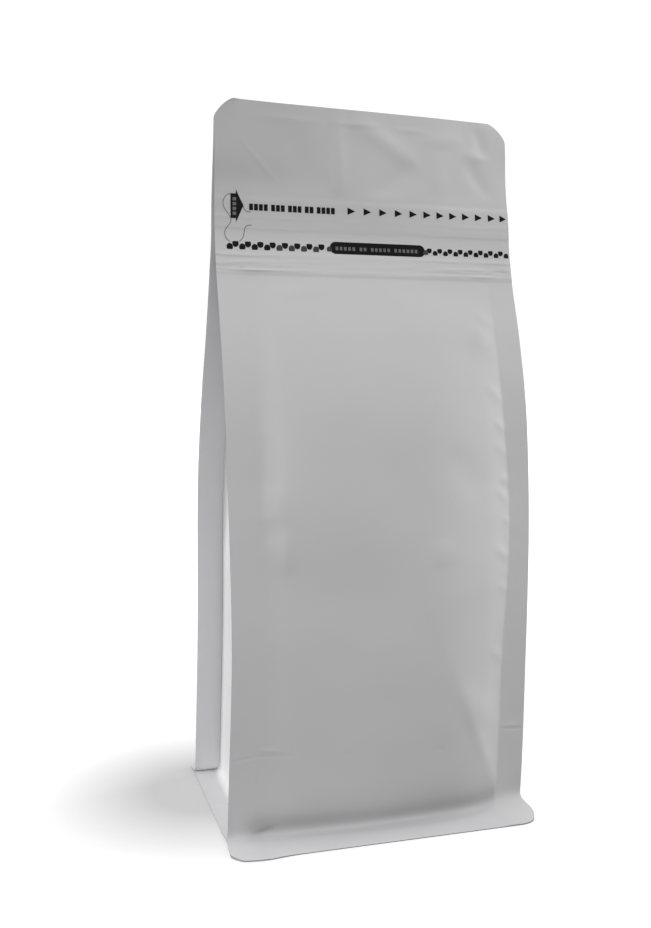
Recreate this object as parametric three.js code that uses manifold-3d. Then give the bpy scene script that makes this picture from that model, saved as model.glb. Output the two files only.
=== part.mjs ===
// A shut flat-bottom pouch of matt white film, made as one closed solid.
// Millimetres, +Z up. The front panel faces -Y, and the origin is on the floor
// under the middle of the pouch.
//
// The form follows the way such a pouch is made. A front and a back panel are sealed
// to two side gussets along four upright fins. A base film closes the bottom, and the
// two seals that hold it flare out as flanges. Above the body, the panels close
// together into a thin header with rounded corners.

import * as THREE from "three";
import { mergeVertices } from "three/addons/utils/BufferGeometryUtils.js";
import Module from "manifold-3d";

// ---------------------------------------------------------------- driving dimensions

const WIDTH = 140; // across the pouch, from fin edge to fin edge
const HEIGHT = 322.6; // floor to top edge, standing
const HEADER_CORNER_RADIUS = 10;
const FIN_WIDTH = 12.5; // sealed strip along each upright edge
const FIN_THICKNESS = 0.9;
const GUSSET_WIDTH = 84; // a side gusset, opened flat, which is also the base's depth
const GUSSET_CREASE_WIDTH = 0.8; // the gusset's folded crease, at its innermost line
const RECESS_TOP = 298; // above this the layers of the header lie together
const FLANGE_REACH = 14.5; // how far the bottom seals spread past the base
const FLANGE_RISE = 7.5; // height at which they leave the panels
const FLANGE_THICKNESS = 0.9;
const FLANGE_CORNER_RADIUS = 6;
const FLANGE_OVERHANG = 0.5; // how far a flange's ends pass the fins
const BASE_THICKNESS = 1.0;

// Side profile, from the floor up: where the front and the back edges of the panels
// stand, and how far the panels belly out between their fins.
const STATIONS = [
  { z: 0, front: -42.0, back: 42.0, belly: 0.0 },
  { z: 8, front: -42.3, back: 41.9, belly: 0.6 },
  { z: 24, front: -43.6, back: 40.9, belly: 5.2 },
  { z: 55, front: -45.8, back: 39.4, belly: 6.8 },
  { z: 90, front: -47.2, back: 38.5, belly: 7.0 },
  { z: 130, front: -46.4, back: 34.6, belly: 6.6 },
  { z: 160, front: -43.8, back: 28.6, belly: 6.0 },
  { z: 190, front: -39.6, back: 18.6, belly: 5.0 },
  { z: 220, front: -31.8, back: 5.2, belly: 3.4 },
  { z: 250, front: -21.8, back: -5.6, belly: 1.0 },
  { z: 265, front: -18.7, back: -9.6, belly: 0.0 },
  { z: 285, front: -16.9, back: -10.7, belly: 0.0 },
  { z: 312, front: -14.5, back: -13.1, belly: 0.0 },
  { z: 322.6, front: -13.5, back: -12.3, belly: 0.0 },
];

// ---------------------------------------------------------------- how fine the facets are

const LEVEL_STEP = 7; // height between cross-sections
const PANEL_STRIPS = 14; // facets across a panel's belly
const CORNER_STEPS = 6; // facets round a corner
const GUSSET_STRIPS = 5; // facets on each flank of a gusset
const FLARE_STEPS = 7; // facets along a flange's flare
const CUT_MARGIN = 5; // how far a cutting shape runs past what it cuts

const HALF_WIDTH = WIDTH / 2;
const BODY_HALF_WIDTH = HALF_WIDTH - FIN_WIDTH;

// ---------------------------------------------------------------- profile functions

// A smooth curve through one column of the stations. Each station's slope is the one
// between its two neighbours, so the curve passes through it without a corner.
function profile(column, z) {
  const slope = (i) => {
    const before = STATIONS[Math.max(i - 1, 0)];
    const after = STATIONS[Math.min(i + 1, STATIONS.length - 1)];
    return (after[column] - before[column]) / (after.z - before.z);
  };
  const above = STATIONS.findIndex((station) => station.z >= z);
  const i = Math.max(above, 1) - 1;
  const low = STATIONS[i];
  const high = STATIONS[i + 1];
  const span = high.z - low.z;
  const t = (z - low.z) / span;
  const blend = t * t * (3 - 2 * t);
  const leaving = t * (1 - t) * (1 - t) * slope(i) * span;
  const arriving = t * t * (1 - t) * slope(i + 1) * span;
  return low[column] * (1 - blend) + high[column] * blend + leaving - arriving;
}

// How far a corner of the given radius pulls an edge in, at a distance from its end.
function cornerInset(fromEnd, radius) {
  if (fromEnd >= radius) {
    return 0;
  }
  const along = radius - Math.max(fromEnd, 0);
  return radius - Math.sqrt(radius * radius - along * along);
}

function halfWidthAt(z) {
  return HALF_WIDTH - cornerInset(HEIGHT - z, HEADER_CORNER_RADIUS);
}

// The share of the full belly at a place across the panel: none on the fins, and
// nearly all of it over the broad middle.
function bellyShare(x) {
  const across = Math.min(Math.abs(x) / BODY_HALF_WIDTH, 1);
  return 1 - across ** 3;
}

// How deep a side gusset is folded in. Its film keeps its width, so the closer the
// panels come, the deeper the crease lies between them.
function creaseDepth(z) {
  const flank = GUSSET_WIDTH / 2;
  const halfDepth = (profile("back", z) - profile("front", z)) / 2;
  return Math.sqrt(Math.max(flank * flank - halfDepth * halfDepth, 0));
}

// ---------------------------------------------------------------- lofted solids

// Heights from low to high in even steps, with closer ones up to each end where asked.
function levels(low, high, extra = []) {
  const count = Math.ceil((high - low) / LEVEL_STEP);
  const even = Array.from({ length: count + 1 }, (_, i) => low + ((high - low) * i) / count);
  const tooClose = LEVEL_STEP / 3;
  const kept = even.filter((z) => !extra.some((other) => Math.abs(other - z) < tooClose));
  return [...kept, ...extra].sort((a, b) => a - b);
}

// The faces that close a ring. Every ring here goes out along one side and comes back
// beside it, so its ends are closed by strips between the two halves.
function capFaces(size, start) {
  const faces = [];
  for (let i = 0; i + 1 < size / 2; i += 1) {
    const [a, b] = [start + i, start + i + 1];
    const [c, d] = [start + size - 2 - i, start + size - 1 - i];
    faces.push([a, b, c], [a, c, d]);
  }
  return faces;
}

// A closed surface through rings of equal length. place(point, ring) turns a ring's
// flat point into space, and the rings run the way their right-hand normal points.
function loft(rings, place) {
  const size = rings[0].length;
  const positions = [];
  const index = [];
  rings.forEach((ring, j) => {
    ring.forEach((point) => positions.push(...place(point, j).toArray()));
  });
  for (let j = 0; j + 1 < rings.length; j += 1) {
    for (let i = 0; i < size; i += 1) {
      const next = (i + 1) % size;
      const low = j * size;
      const high = low + size;
      index.push(low + i, low + next, high + next);
      index.push(low + i, high + next, high + i);
    }
  }
  const lastRing = (rings.length - 1) * size;
  capFaces(size, 0).forEach(([a, b, c]) => index.push(a, c, b));
  capFaces(size, lastRing).forEach((face) => index.push(...face));
  const geometry = new THREE.BufferGeometry();
  geometry.setAttribute("position", new THREE.Float32BufferAttribute(positions, 3));
  geometry.setIndex(index);
  return geometry;
}

function loftUpright(heights, ringAt) {
  const place = (point, j) => new THREE.Vector3(point.x, point.y, heights[j]);
  return loft(heights.map(ringAt), place);
}

// ---------------------------------------------------------------- the pouch's own shapes

// The cross-section of front panel, back panel and fins at one height, before the
// side recesses are taken out.
function bodyRing(z) {
  const halfWidth = halfWidthAt(z);
  const inner = Math.min(BODY_HALF_WIDTH, halfWidth - 1);
  const across = Array.from({ length: PANEL_STRIPS + 1 }, (_, i) => -inner + (2 * inner * i) / PANEL_STRIPS);
  const belly = profile("belly", z);
  const front = profile("front", z);
  const back = profile("back", z);
  const frontPoints = across.map((x) => new THREE.Vector2(x, front - belly * bellyShare(x)));
  const backPoints = across.map((x) => new THREE.Vector2(-x, back + belly * bellyShare(x)));
  return [
    new THREE.Vector2(-halfWidth, front),
    ...frontPoints,
    new THREE.Vector2(halfWidth, front),
    new THREE.Vector2(halfWidth, back),
    ...backPoints,
    new THREE.Vector2(-halfWidth, back),
  ];
}

function bodyShape() {
  const corner = Array.from({ length: CORNER_STEPS }, (_, i) => {
    const turn = (Math.PI / 2) * ((i + 1) / CORNER_STEPS);
    return HEIGHT - HEADER_CORNER_RADIUS * (1 - Math.sin(turn));
  });
  const foot = [3, 6, 10, 14, 18];
  return loftUpright(levels(0, HEIGHT, [...foot, ...corner]), bodyRing);
}

// The space between a front and a back fin, in to the folded gusset. side is -1 for
// the left and 1 for the right.
function recessShape(side) {
  const ringAt = (z) => {
    const front = profile("front", z) + FIN_THICKNESS;
    const back = profile("back", z) - FIN_THICKNESS;
    const middle = (front + back) / 2;
    const crease = GUSSET_CREASE_WIDTH / 2;
    const depth = creaseDepth(z);
    const outer = HALF_WIDTH + CUT_MARGIN;
    const flank = (from, to) =>
      Array.from({ length: GUSSET_STRIPS + 1 }, (_, i) => {
        const t = i / GUSSET_STRIPS;
        return new THREE.Vector2(BODY_HALF_WIDTH - depth * t, from + (to - from) * t);
      });
    const half = flank(front, middle - crease);
    const otherHalf = flank(back, middle + crease).reverse();
    const ring = [new THREE.Vector2(outer, front), ...half, ...otherHalf, new THREE.Vector2(outer, back)];
    const sided = ring.map((point) => new THREE.Vector2(point.x * side, point.y));
    return side < 0 ? sided : sided.reverse();
  };
  return loftUpright(levels(-CUT_MARGIN, RECESS_TOP), (z) => ringAt(Math.max(z, 0)));
}

// The base film's flat sheet, as wide as the pouch, with a strip outside each gusset.
function baseShape() {
  const depth = 2 * Math.abs(STATIONS[0].front);
  const plate = new THREE.BoxGeometry(WIDTH, depth, BASE_THICKNESS);
  plate.translate(0, 0, BASE_THICKNESS / 2);
  return plate;
}

// A bottom seal: it leaves its panel upright, then curves out to lie on the floor.
// side is -1 for the front and 1 for the back.
function flangeShape(side) {
  const start = Math.abs(STATIONS[0].front) - FLANGE_THICKNESS / 2;
  const half = FLANGE_THICKNESS / 2;
  const flare = new THREE.QuadraticBezierCurve(
    new THREE.Vector2(start, FLANGE_RISE),
    new THREE.Vector2(start + half, 2 * half),
    new THREE.Vector2(Math.abs(STATIONS[0].front) + FLANGE_REACH, half),
  );
  const length = flare.getLength();
  const straight = Array.from({ length: FLARE_STEPS }, (_, i) => i / FLARE_STEPS);
  const roundedFrom = 1 - FLANGE_CORNER_RADIUS / length;
  const rounded = Array.from({ length: CORNER_STEPS + 1 }, (_, i) => {
    const turn = (Math.PI / 2) * (i / CORNER_STEPS);
    return roundedFrom + (1 - roundedFrom) * Math.sin(turn);
  });
  const stops = [...straight.filter((t) => t < roundedFrom), ...rounded];
  const frames = stops.map((t) => ({ at: flare.getPointAt(t), along: flare.getTangentAt(t) }));
  const rings = stops.map((t) => {
    const inset = cornerInset((1 - t) * length, FLANGE_CORNER_RADIUS);
    const reach = HALF_WIDTH + FLANGE_OVERHANG - inset;
    const ring = [
      new THREE.Vector2(-reach, -half),
      new THREE.Vector2(reach, -half),
      new THREE.Vector2(reach, half),
      new THREE.Vector2(-reach, half),
    ];
    return side > 0 ? ring : ring.reverse();
  });
  const place = (point, j) => {
    const { at, along } = frames[j];
    const out = at.x + along.y * point.y;
    const up = at.y - along.x * point.y;
    return new THREE.Vector3(point.x, side * out, Math.max(up, 0));
  };
  return loft(rings, place);
}

// ---------------------------------------------------------------- joining and cutting

const wasm = await Module();
wasm.setup();

function toSolid(geometry) {
  const bare = geometry.clone();
  bare.deleteAttribute("normal");
  bare.deleteAttribute("uv");
  const merged = mergeVertices(bare);
  const mesh = new wasm.Mesh({
    numProp: 3,
    vertProperties: new Float32Array(merged.attributes.position.array),
    triVerts: new Uint32Array(merged.index.array),
  });
  return new wasm.Manifold(mesh);
}

function toGeometry(solid) {
  const mesh = solid.getMesh();
  const geometry = new THREE.BufferGeometry();
  geometry.setAttribute("position", new THREE.BufferAttribute(mesh.vertProperties, 3));
  geometry.setIndex(new THREE.BufferAttribute(mesh.triVerts, 1));
  geometry.computeVertexNormals();
  return geometry;
}

function pouchGeometry() {
  let solid = toSolid(bodyShape());
  [-1, 1].forEach((side) => {
    solid = solid.subtract(toSolid(recessShape(side)));
  });
  [baseShape(), flangeShape(-1), flangeShape(1)].forEach((shape) => {
    solid = solid.add(toSolid(shape));
  });
  return toGeometry(solid);
}

// ---------------------------------------------------------------- the scene

function pouchMesh() {
  const film = new THREE.MeshStandardMaterial({ color: 0xd2d2d4, roughness: 0.55, metalness: 0 });
  const mesh = new THREE.Mesh(pouchGeometry(), film);
  mesh.name = "pouch";
  return mesh;
}

const pouch = new THREE.Group();
pouch.add(pouchMesh());

export default pouch;
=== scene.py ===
# %% [markdown]
# # A flat-bottom pouch of matt white film
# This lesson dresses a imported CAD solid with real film. A flat-bottom pouch is made of
# five sheets: a front panel, a back panel, two side gussets and a base. They are heat
# sealed to each other along four upright fins and along two bottom flanges. The CAD
# solid gives the outer form, and each sheet is made here as its own thin piece.

# %% Load the CAD frame
import math

import bmesh
import bpy
from mathutils import Matrix, Vector, noise


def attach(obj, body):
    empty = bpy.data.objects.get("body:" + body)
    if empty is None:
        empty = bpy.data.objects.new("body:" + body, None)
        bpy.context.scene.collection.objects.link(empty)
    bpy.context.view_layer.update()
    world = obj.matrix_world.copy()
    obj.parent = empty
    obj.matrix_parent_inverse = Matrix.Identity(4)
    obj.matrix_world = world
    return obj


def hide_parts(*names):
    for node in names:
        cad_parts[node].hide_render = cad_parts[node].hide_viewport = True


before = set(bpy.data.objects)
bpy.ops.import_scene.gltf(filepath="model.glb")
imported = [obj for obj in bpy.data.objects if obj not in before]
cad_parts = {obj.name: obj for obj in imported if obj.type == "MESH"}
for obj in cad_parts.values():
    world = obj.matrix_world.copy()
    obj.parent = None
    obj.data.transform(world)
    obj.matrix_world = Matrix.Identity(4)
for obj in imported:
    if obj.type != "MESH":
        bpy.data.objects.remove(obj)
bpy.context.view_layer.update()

MM = 0.001
BODY = "root"
NODE = "pouch"

# %% [markdown]
# ## The camera
# The photograph is taken a little to the left of the pouch and from below its top edge.
# Its view was solved from the pouch's outline, so it is written here as real sizes: where
# the camera stands in millimetres, how far it turns right and down, and its focal length
# on a 36 mm sensor. A camera looks along its own -Z axis, so the matrix is built from the
# directions to the right, up and back.

# %% Camera at the photograph's viewing angle
CAMERA_MM = Vector((-153.7, -468.0, 206.4))
CAMERA_YAW = math.radians(16.63)
CAMERA_PITCH = math.radians(5.20)
CAMERA_ROLL = math.radians(0.28)
FOCAL_LENGTH = 40.16
SENSOR = 36.0
NEAREST_SEEN = 0.01


def camera_axes(yaw, pitch, roll):
    """Right, up and forward directions of a camera turned right, tilted down and rolled."""
    level_reach = math.cos(pitch)
    forward = Vector((math.sin(yaw) * level_reach, math.cos(yaw) * level_reach, -math.sin(pitch)))
    level = Vector((math.cos(yaw), -math.sin(yaw), 0.0))
    upright = level.cross(forward)
    right = level * math.cos(roll) + upright * math.sin(roll)
    up = upright * math.cos(roll) - level * math.sin(roll)
    return right, up, forward


right, up, forward = camera_axes(CAMERA_YAW, CAMERA_PITCH, CAMERA_ROLL)
camera = bpy.data.objects.new("camera", bpy.data.cameras.new("camera"))
camera.data.lens = FOCAL_LENGTH
camera.data.sensor_width = SENSOR
camera.data.clip_start = NEAREST_SEEN
turn = Matrix((right, up, -forward)).transposed().to_4x4()
camera.matrix_world = Matrix.Translation(CAMERA_MM * MM) @ turn
bpy.context.scene.collection.objects.link(camera)
bpy.context.scene.camera = camera
print("camera at", [round(v, 4) for v in camera.location], "lens", camera.data.lens)

# %% [markdown]
# ## The pouch's own sizes
# These repeat the CAD model's driving sizes, in millimetres. The side profile is a short
# table: at each height it says where the front and back edges stand, and how far the
# panels belly out between their fins. A smooth curve joins the rows.

# %% Sizes and side profile
HALF_WIDTH = 70.0
HEIGHT = 322.6
HEADER_CORNER = 8.4
FIN = 12.5
FIN_LINE = HALF_WIDTH - FIN
GUSSET_FLANK = 42.0
FILM = 0.26
PLY = 0.22
GAP = 0.02
MARGIN = FILM + PLY + 2 * GAP

HEIGHT_COLUMN, FRONT, BACK, BELLY = range(4)
STATIONS = [
    (0.0, -42.0, 42.0, 0.0),
    (4.0, -42.1, 42.0, 2.3),
    (9.0, -42.4, 41.8, 5.7),
    (15.0, -42.9, 41.5, 7.4),
    (24.0, -43.6, 40.9, 8.1),
    (55.0, -45.8, 39.4, 8.0),
    (90.0, -47.2, 38.5, 7.3),
    (130.0, -46.4, 34.6, 6.6),
    (160.0, -43.8, 28.6, 6.0),
    (190.0, -39.6, 18.6, 5.0),
    (220.0, -31.8, 5.2, 3.4),
    (250.0, -21.8, -5.6, 1.0),
    (265.0, -18.7, -9.6, 0.0),
    (285.0, -16.9, -10.7, 0.0),
    (312.0, -14.4, -12.8, 0.0),
    (322.6, -13.4, -12.34, 0.0),
]


def station_slope(column, i):
    before = STATIONS[max(i - 1, 0)]
    after = STATIONS[min(i + 1, len(STATIONS) - 1)]
    return (after[column] - before[column]) / (after[HEIGHT_COLUMN] - before[HEIGHT_COLUMN])


def profile(column, z):
    """A smooth curve through one column of the stations."""
    z = min(max(z, 0.0), HEIGHT)
    i = next(k for k in range(1, len(STATIONS)) if STATIONS[k][HEIGHT_COLUMN] >= z) - 1
    low, high = STATIONS[i], STATIONS[i + 1]
    span = high[HEIGHT_COLUMN] - low[HEIGHT_COLUMN]
    t = (z - low[HEIGHT_COLUMN]) / span
    blend = t * t * (3 - 2 * t)
    leaving = t * (1 - t) ** 2 * station_slope(column, i) * span
    arriving = t * t * (1 - t) * station_slope(column, i + 1) * span
    return low[column] * (1 - blend) + high[column] * blend + leaving - arriving


print("depth at 90 mm up:", round(profile(BACK, 90) - profile(FRONT, 90), 1), "mm")

# %% [markdown]
# ## Small shape helpers
# Soft bumps, steps and rounded corners come up again and again, so each gets a function.
# A film sheet always starts as a flat grid made by a bmesh operator. Its rows and columns
# are then placed by a function, which is how a soft sheet is draped without simulating it.
# The far side of the sheet is an extruded copy, moved in by the film's thickness.


# %% Helpers for curves and sheets
def smooth_step(start, end, value):
    t = min(max((value - start) / (end - start), 0.0), 1.0)
    return t * t * (3 - 2 * t)


def hump(value, centre, width):
    """A smooth bump of height 1."""
    return math.exp(-(((value - centre) / width) ** 2))


def corner_inset(from_end, reach, roundness=2.0):
    """How far a corner pulls the edge in. Roundness 2 is a true arc and 1 is a straight cut."""
    if from_end >= reach:
        return 0.0
    along = (reach - max(from_end, 0.0)) / reach
    return reach * (1 - (1 - along ** roundness) ** (1 / roundness))


def graded(*bands):
    """Stops from one end to the other, with their own spacing in each (start, end, spacing)."""
    stops = [bands[0][0]]
    for start, end, spacing in bands:
        count = max(1, round(abs(end - start) / spacing))
        stops += [start + (end - start) * (k + 1) / count for k in range(count)]
    return stops


def ripple(x, z, size, seed):
    """Gentle unevenness between -1 and 1, with features of about this size."""
    return noise.noise(Vector((x / size, z / size, seed)))


SHARP_ANGLE = math.radians(50)
TONE = "tone"
PLAIN_TONE = 1.0


def thicken(bm, thickness):
    """Gives a sheet its far side, and closes the cut edge between the two."""
    bm.normal_update()
    near = set(bm.verts)
    made = bmesh.ops.extrude_face_region(bm, geom=bm.faces[:], use_keep_orig=True)
    for vert in [item for item in made["geom"] if isinstance(item, bmesh.types.BMVert)]:
        vert.co -= vert.normal * thickness
    for face in bm.faces:
        shared = sum(vert in near for vert in face.verts)
        face.material_index = 1 if 0 < shared < len(face.verts) else 0
    bmesh.ops.recalc_face_normals(bm, faces=bm.faces[:])


def finish_mesh(name, bm, materials):
    """Turns a bmesh in millimetres into a smooth-shaded object in metres."""
    bm.normal_update()
    for face in bm.faces:
        face.smooth = True
    for line in bm.edges:
        if len(line.link_faces) == 2 and line.calc_face_angle() > SHARP_ANGLE:
            line.smooth = False
    bmesh.ops.scale(bm, vec=(MM, MM, MM), verts=bm.verts)
    mesh = bpy.data.meshes.new(name)
    bm.to_mesh(mesh)
    bm.free()
    for material in materials:
        mesh.materials.append(material)
    piece = bpy.data.objects.new(name, mesh)
    bpy.context.scene.collection.objects.link(piece)
    return piece


def film_sheet(name, across, along, place, thickness, material, edge, flip=False, tone=None):
    """A sheet. place(a, b) puts the grid's column a and row b in space, and tone(a, b) paints light and
    shade into its tint.
    """
    bm = bmesh.new()
    tones = bm.verts.layers.float.new(TONE)
    columns, rows = len(across) - 1, len(along) - 1
    bmesh.ops.create_grid(bm, x_segments=columns, y_segments=rows, size=0.5)
    for vert in bm.verts:
        a = across[round((vert.co.x + 0.5) * columns)]
        b = along[round((vert.co.y + 0.5) * rows)]
        vert.co = Vector(place(a, b))
        vert[tones] = tone(a, b) if tone else PLAIN_TONE
    if flip:
        bmesh.ops.reverse_faces(bm, faces=bm.faces)
    thicken(bm, thickness)
    piece = finish_mesh(name, bm, (material, edge))
    print(name, len(piece.data.polygons), "faces")
    return piece


print("1 mm from its end, a round corner pulls the edge in by",
      round(corner_inset(1.0, HEADER_CORNER), 1), "mm")

# %% [markdown]
# ## Film and ink finishes
# The pouch is laminated film with a matt outer layer. It is nearly white, a little uneven
# in gloss, and faintly rippled from being folded flat. One node group makes that surface
# for every sheet, with its own tint, and the ink uses its unevenness as well. The group
# gives out only values that change over the surface. Plain constants stay on the shader.
# The panels and gussets also carry a tone at each point, stored on the mesh. It is painted
# light and shade, which makes the film a little lighter or greyer where light and shade fall so.


# %% The shared film surface group
def new_group(name, inputs, outputs):
    group = bpy.data.node_groups.new(name, "ShaderNodeTree")
    for label, kind in inputs:
        group.interface.new_socket(label, in_out="INPUT", socket_type=kind)
    for label, kind in outputs:
        group.interface.new_socket(label, in_out="OUTPUT", socket_type=kind)
    return group, group.nodes.new("NodeGroupInput"), group.nodes.new("NodeGroupOutput")


def fill(tree, node, inputs):
    """Sets each of these inputs to a value, or links it to another node's socket."""
    for label, value in inputs.items():
        if isinstance(value, bpy.types.NodeSocket):
            tree.links.new(value, node.inputs[label])
        else:
            node.inputs[label].default_value = value


def add_node(tree, kind, inputs, **settings):
    node = tree.nodes.new(kind)
    for name, value in settings.items():
        setattr(node, name, value)
    fill(tree, node, inputs)
    return node


def noise_node(tree, vector, scale, detail, roughness=0.5):
    values = {"Vector": vector, "Scale": scale, "Detail": detail, "Roughness": roughness}
    return add_node(tree, "ShaderNodeTexNoise", values).outputs["Fac"]


def math_node(tree, operation, a, b):
    return add_node(tree, "ShaderNodeMath", {0: a, 1: b}, operation=operation).outputs[0]


NOISE_LOW, NOISE_HIGH = 0.3, 0.7


def remap_node(tree, value, low, high, start=NOISE_LOW, end=NOISE_HIGH):
    """Spreads start to end over low to high. A noise value mostly stays between its own two."""
    ends = {"Value": value, "From Min": start, "From Max": end, "To Min": low, "To Max": high}
    return add_node(tree, "ShaderNodeMapRange", ends).outputs["Result"]


CLOUDS_PER_METRE = 22.0
RUBS_PER_METRE = 90.0
RIPPLES_PER_METRE = 38.0
GRAINS_PER_METRE = 1800.0


def build_film_surface():
    """Tint, gloss and relief of laminated film, in object coordinates."""
    group, given, out = new_group(
        "film surface",
        [("Light tint", "NodeSocketColor"), ("Dark tint", "NodeSocketColor"),
         ("Smoothest", "NodeSocketFloat"), ("Roughest", "NodeSocketFloat"),
         ("Ripple", "NodeSocketFloat"), ("Grain", "NodeSocketFloat"), ("Tone", "NodeSocketFloat")],
        [("Color", "NodeSocketColor"), ("Roughness", "NodeSocketFloat"),
         ("Height", "NodeSocketFloat")],
    )
    here = group.nodes.new("ShaderNodeTexCoord").outputs["Object"]
    clouds = remap_node(group, noise_node(group, here, CLOUDS_PER_METRE, 3.0), 0.0, 1.0)
    rubbed = noise_node(group, here, RUBS_PER_METRE, 4.0, 0.6)
    folds = noise_node(group, here, RIPPLES_PER_METRE, 2.0)
    matt = noise_node(group, here, GRAINS_PER_METRE, 1.0)
    tints = {"Factor": clouds, 6: given.outputs["Light tint"], 7: given.outputs["Dark tint"]}
    colour = add_node(group, "ShaderNodeMix", tints, data_type="RGBA").outputs[2]
    shaded = {0: colour, "Scale": given.outputs["Tone"]}
    toned = add_node(group, "ShaderNodeVectorMath", shaded, operation="SCALE")
    rough = remap_node(group, rubbed, given.outputs["Smoothest"], given.outputs["Roughest"])
    relief = math_node(group, "MULTIPLY", folds, given.outputs["Ripple"])
    fine = math_node(group, "MULTIPLY", matt, given.outputs["Grain"])
    height = math_node(group, "ADD", relief, fine)
    fill(group, out, {"Color": toned.outputs["Vector"], "Roughness": rough, "Height": height})
    return group


film_surface = build_film_surface()
print("film surface group with", len(film_surface.nodes), "nodes")


# %% Materials that use the group
FILM_IOR = 1.46
FULL_SHINE = 0.5
RIPPLE_SHARE = 1.0
GRAIN_SHARE = 0.02
RELIEF_DEPTH = 0.0004


def film_material(name, light, dark, smoothest, roughest, shine=FULL_SHINE, toned=False):
    """A finish made by the group. Ink has less shine than film, and toned film reads its mesh's tone, which
    holds painted light and shade.
    """
    material = bpy.data.materials.new(name)
    material.use_nodes = True
    tree = material.node_tree
    tone = PLAIN_TONE
    if toned:
        tone = add_node(tree, "ShaderNodeAttribute", {}, attribute_name=TONE).outputs["Fac"]
    surface = add_node(tree, "ShaderNodeGroup", {
        "Light tint": (*light, 1.0), "Dark tint": (*dark, 1.0),
        "Smoothest": smoothest, "Roughest": roughest,
        "Ripple": RIPPLE_SHARE, "Grain": GRAIN_SHARE, "Tone": tone,
    }, node_tree=film_surface)
    relief = {"Distance": RELIEF_DEPTH, "Height": surface.outputs["Height"]}
    fill(tree, tree.nodes["Principled BSDF"], {
        "IOR": FILM_IOR,
        "Specular IOR Level": shine,
        "Base Color": surface.outputs["Color"],
        "Roughness": surface.outputs["Roughness"],
        "Normal": add_node(tree, "ShaderNodeBump", relief).outputs["Normal"],
    })
    return material


white_film = film_material("matt white film", (0.755, 0.755, 0.765), (0.735, 0.735, 0.745),
                           0.42, 0.52, toned=True)
gusset_film = film_material("matt white gusset film", (0.78, 0.78, 0.79), (0.76, 0.76, 0.77),
                            0.45, 0.55, toned=True)
base_finish = film_material("matt white base film", (0.77, 0.77, 0.78), (0.75, 0.75, 0.76), 0.45, 0.55)
cut_edge = film_material("shaded cut edge", (0.24, 0.24, 0.25), (0.19, 0.19, 0.2), 0.5, 0.6)
pale_edge = film_material("pale cut edge", (0.62, 0.62, 0.63), (0.55, 0.55, 0.56), 0.5, 0.6)
black_ink = film_material("black ink", (0.006, 0.006, 0.007), (0.011, 0.011, 0.012), 0.4, 0.5, shine=0.12)
worn_ink = film_material("worn black ink", (0.035, 0.035, 0.037), (0.07, 0.07, 0.073), 0.4, 0.5, shine=0.2)
grey_ink = film_material("grey ink", (0.12, 0.12, 0.125), (0.2, 0.2, 0.205), 0.4, 0.5, shine=0.2)
cut_line = film_material("shaded cut line", (0.12, 0.12, 0.125), (0.2, 0.2, 0.205), 0.5, 0.6)
print("materials:", [m.name for m in bpy.data.materials])

# %% [markdown]
# ## Relief on the film
# The film is not smooth. A press-to-close zip and a tear strip are welded behind the
# header and show through as ridges. The whole header has soft upright folds, which all
# its layers follow together. Short puckers run along the right fin, and a faint crease
# crosses the foot, where the pouch was folded flat. Noise alone would scatter such marks
# anywhere, so each one is a line in a table, and one function turns a line into a soft
# streak. Every relief is measured outward from the panel, in millimetres.

# %% Where the ridges, folds, dents and puckers are
ZIP_RIDGES = [  # height, sharpness and outward size, mm
    (268.0, 0.6, 0.06),
    (272.6, 0.9, 0.05),
    (256.1, 0.45, 0.1),
    (252.6, 1.1, 0.18),
    (249.5, 0.6, 0.16),
]
HEADER_FOLDS = [  # start and end on the header as (x, z), width and height, mm
    ((-13.0, 322.0), (-13.6, 282.0), 3.4, 0.9),
    ((-7.0, 319.0), (27.0, 299.0), 4.6, 0.8),
    ((24.0, 300.0), (2.0, 283.0), 5.0, -0.8),
    ((-60.0, 307.0), (-38.4, 284.4), 0.9, 0.16),
    ((56.4, 320.0), (59.7, 305.0), 3.0, -0.6),
    ((48.0, 307.0), (62.0, 305.0), 2.4, 0.5),
    ((49.9, 303.0), (61.3, 286.5), 3.6, -0.7),
    ((-16.0, 316.0), (7.0, 316.5), 1.0, 0.34),
    ((13.0, 315.9), (30.0, 315.3), 1.0, 0.26),
    ((-54.0, 316.5), (-18.0, 315.5), 1.8, 0.2),
    ((28.0, 311.0), (50.0, 314.0), 3.2, 0.4),
    ((36.0, 308.0), (34.0, 286.0), 5.0, 0.5),
    ((-34.0, 312.0), (-30.0, 288.0), 6.0, -0.5),
]
ZIP_MARKS = [  # the same columns, on the zip and tear strip
    ((-42.5, 275.0), (-43.6, 249.0), 0.6, -0.16),
    ((-68.0, 255.6), (-50.0, 255.9), 0.45, 0.24),
    ((-67.0, 249.6), (-42.0, 249.4), 0.45, 0.2),
    ((68.2, 256.5), (68.0, 248.6), 0.8, 0.35),
    ((60.0, 252.0), (69.0, 251.4), 0.5, -0.25),
    ((20.0, 251.6), (66.0, 251.0), 0.5, 0.14),
]
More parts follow.
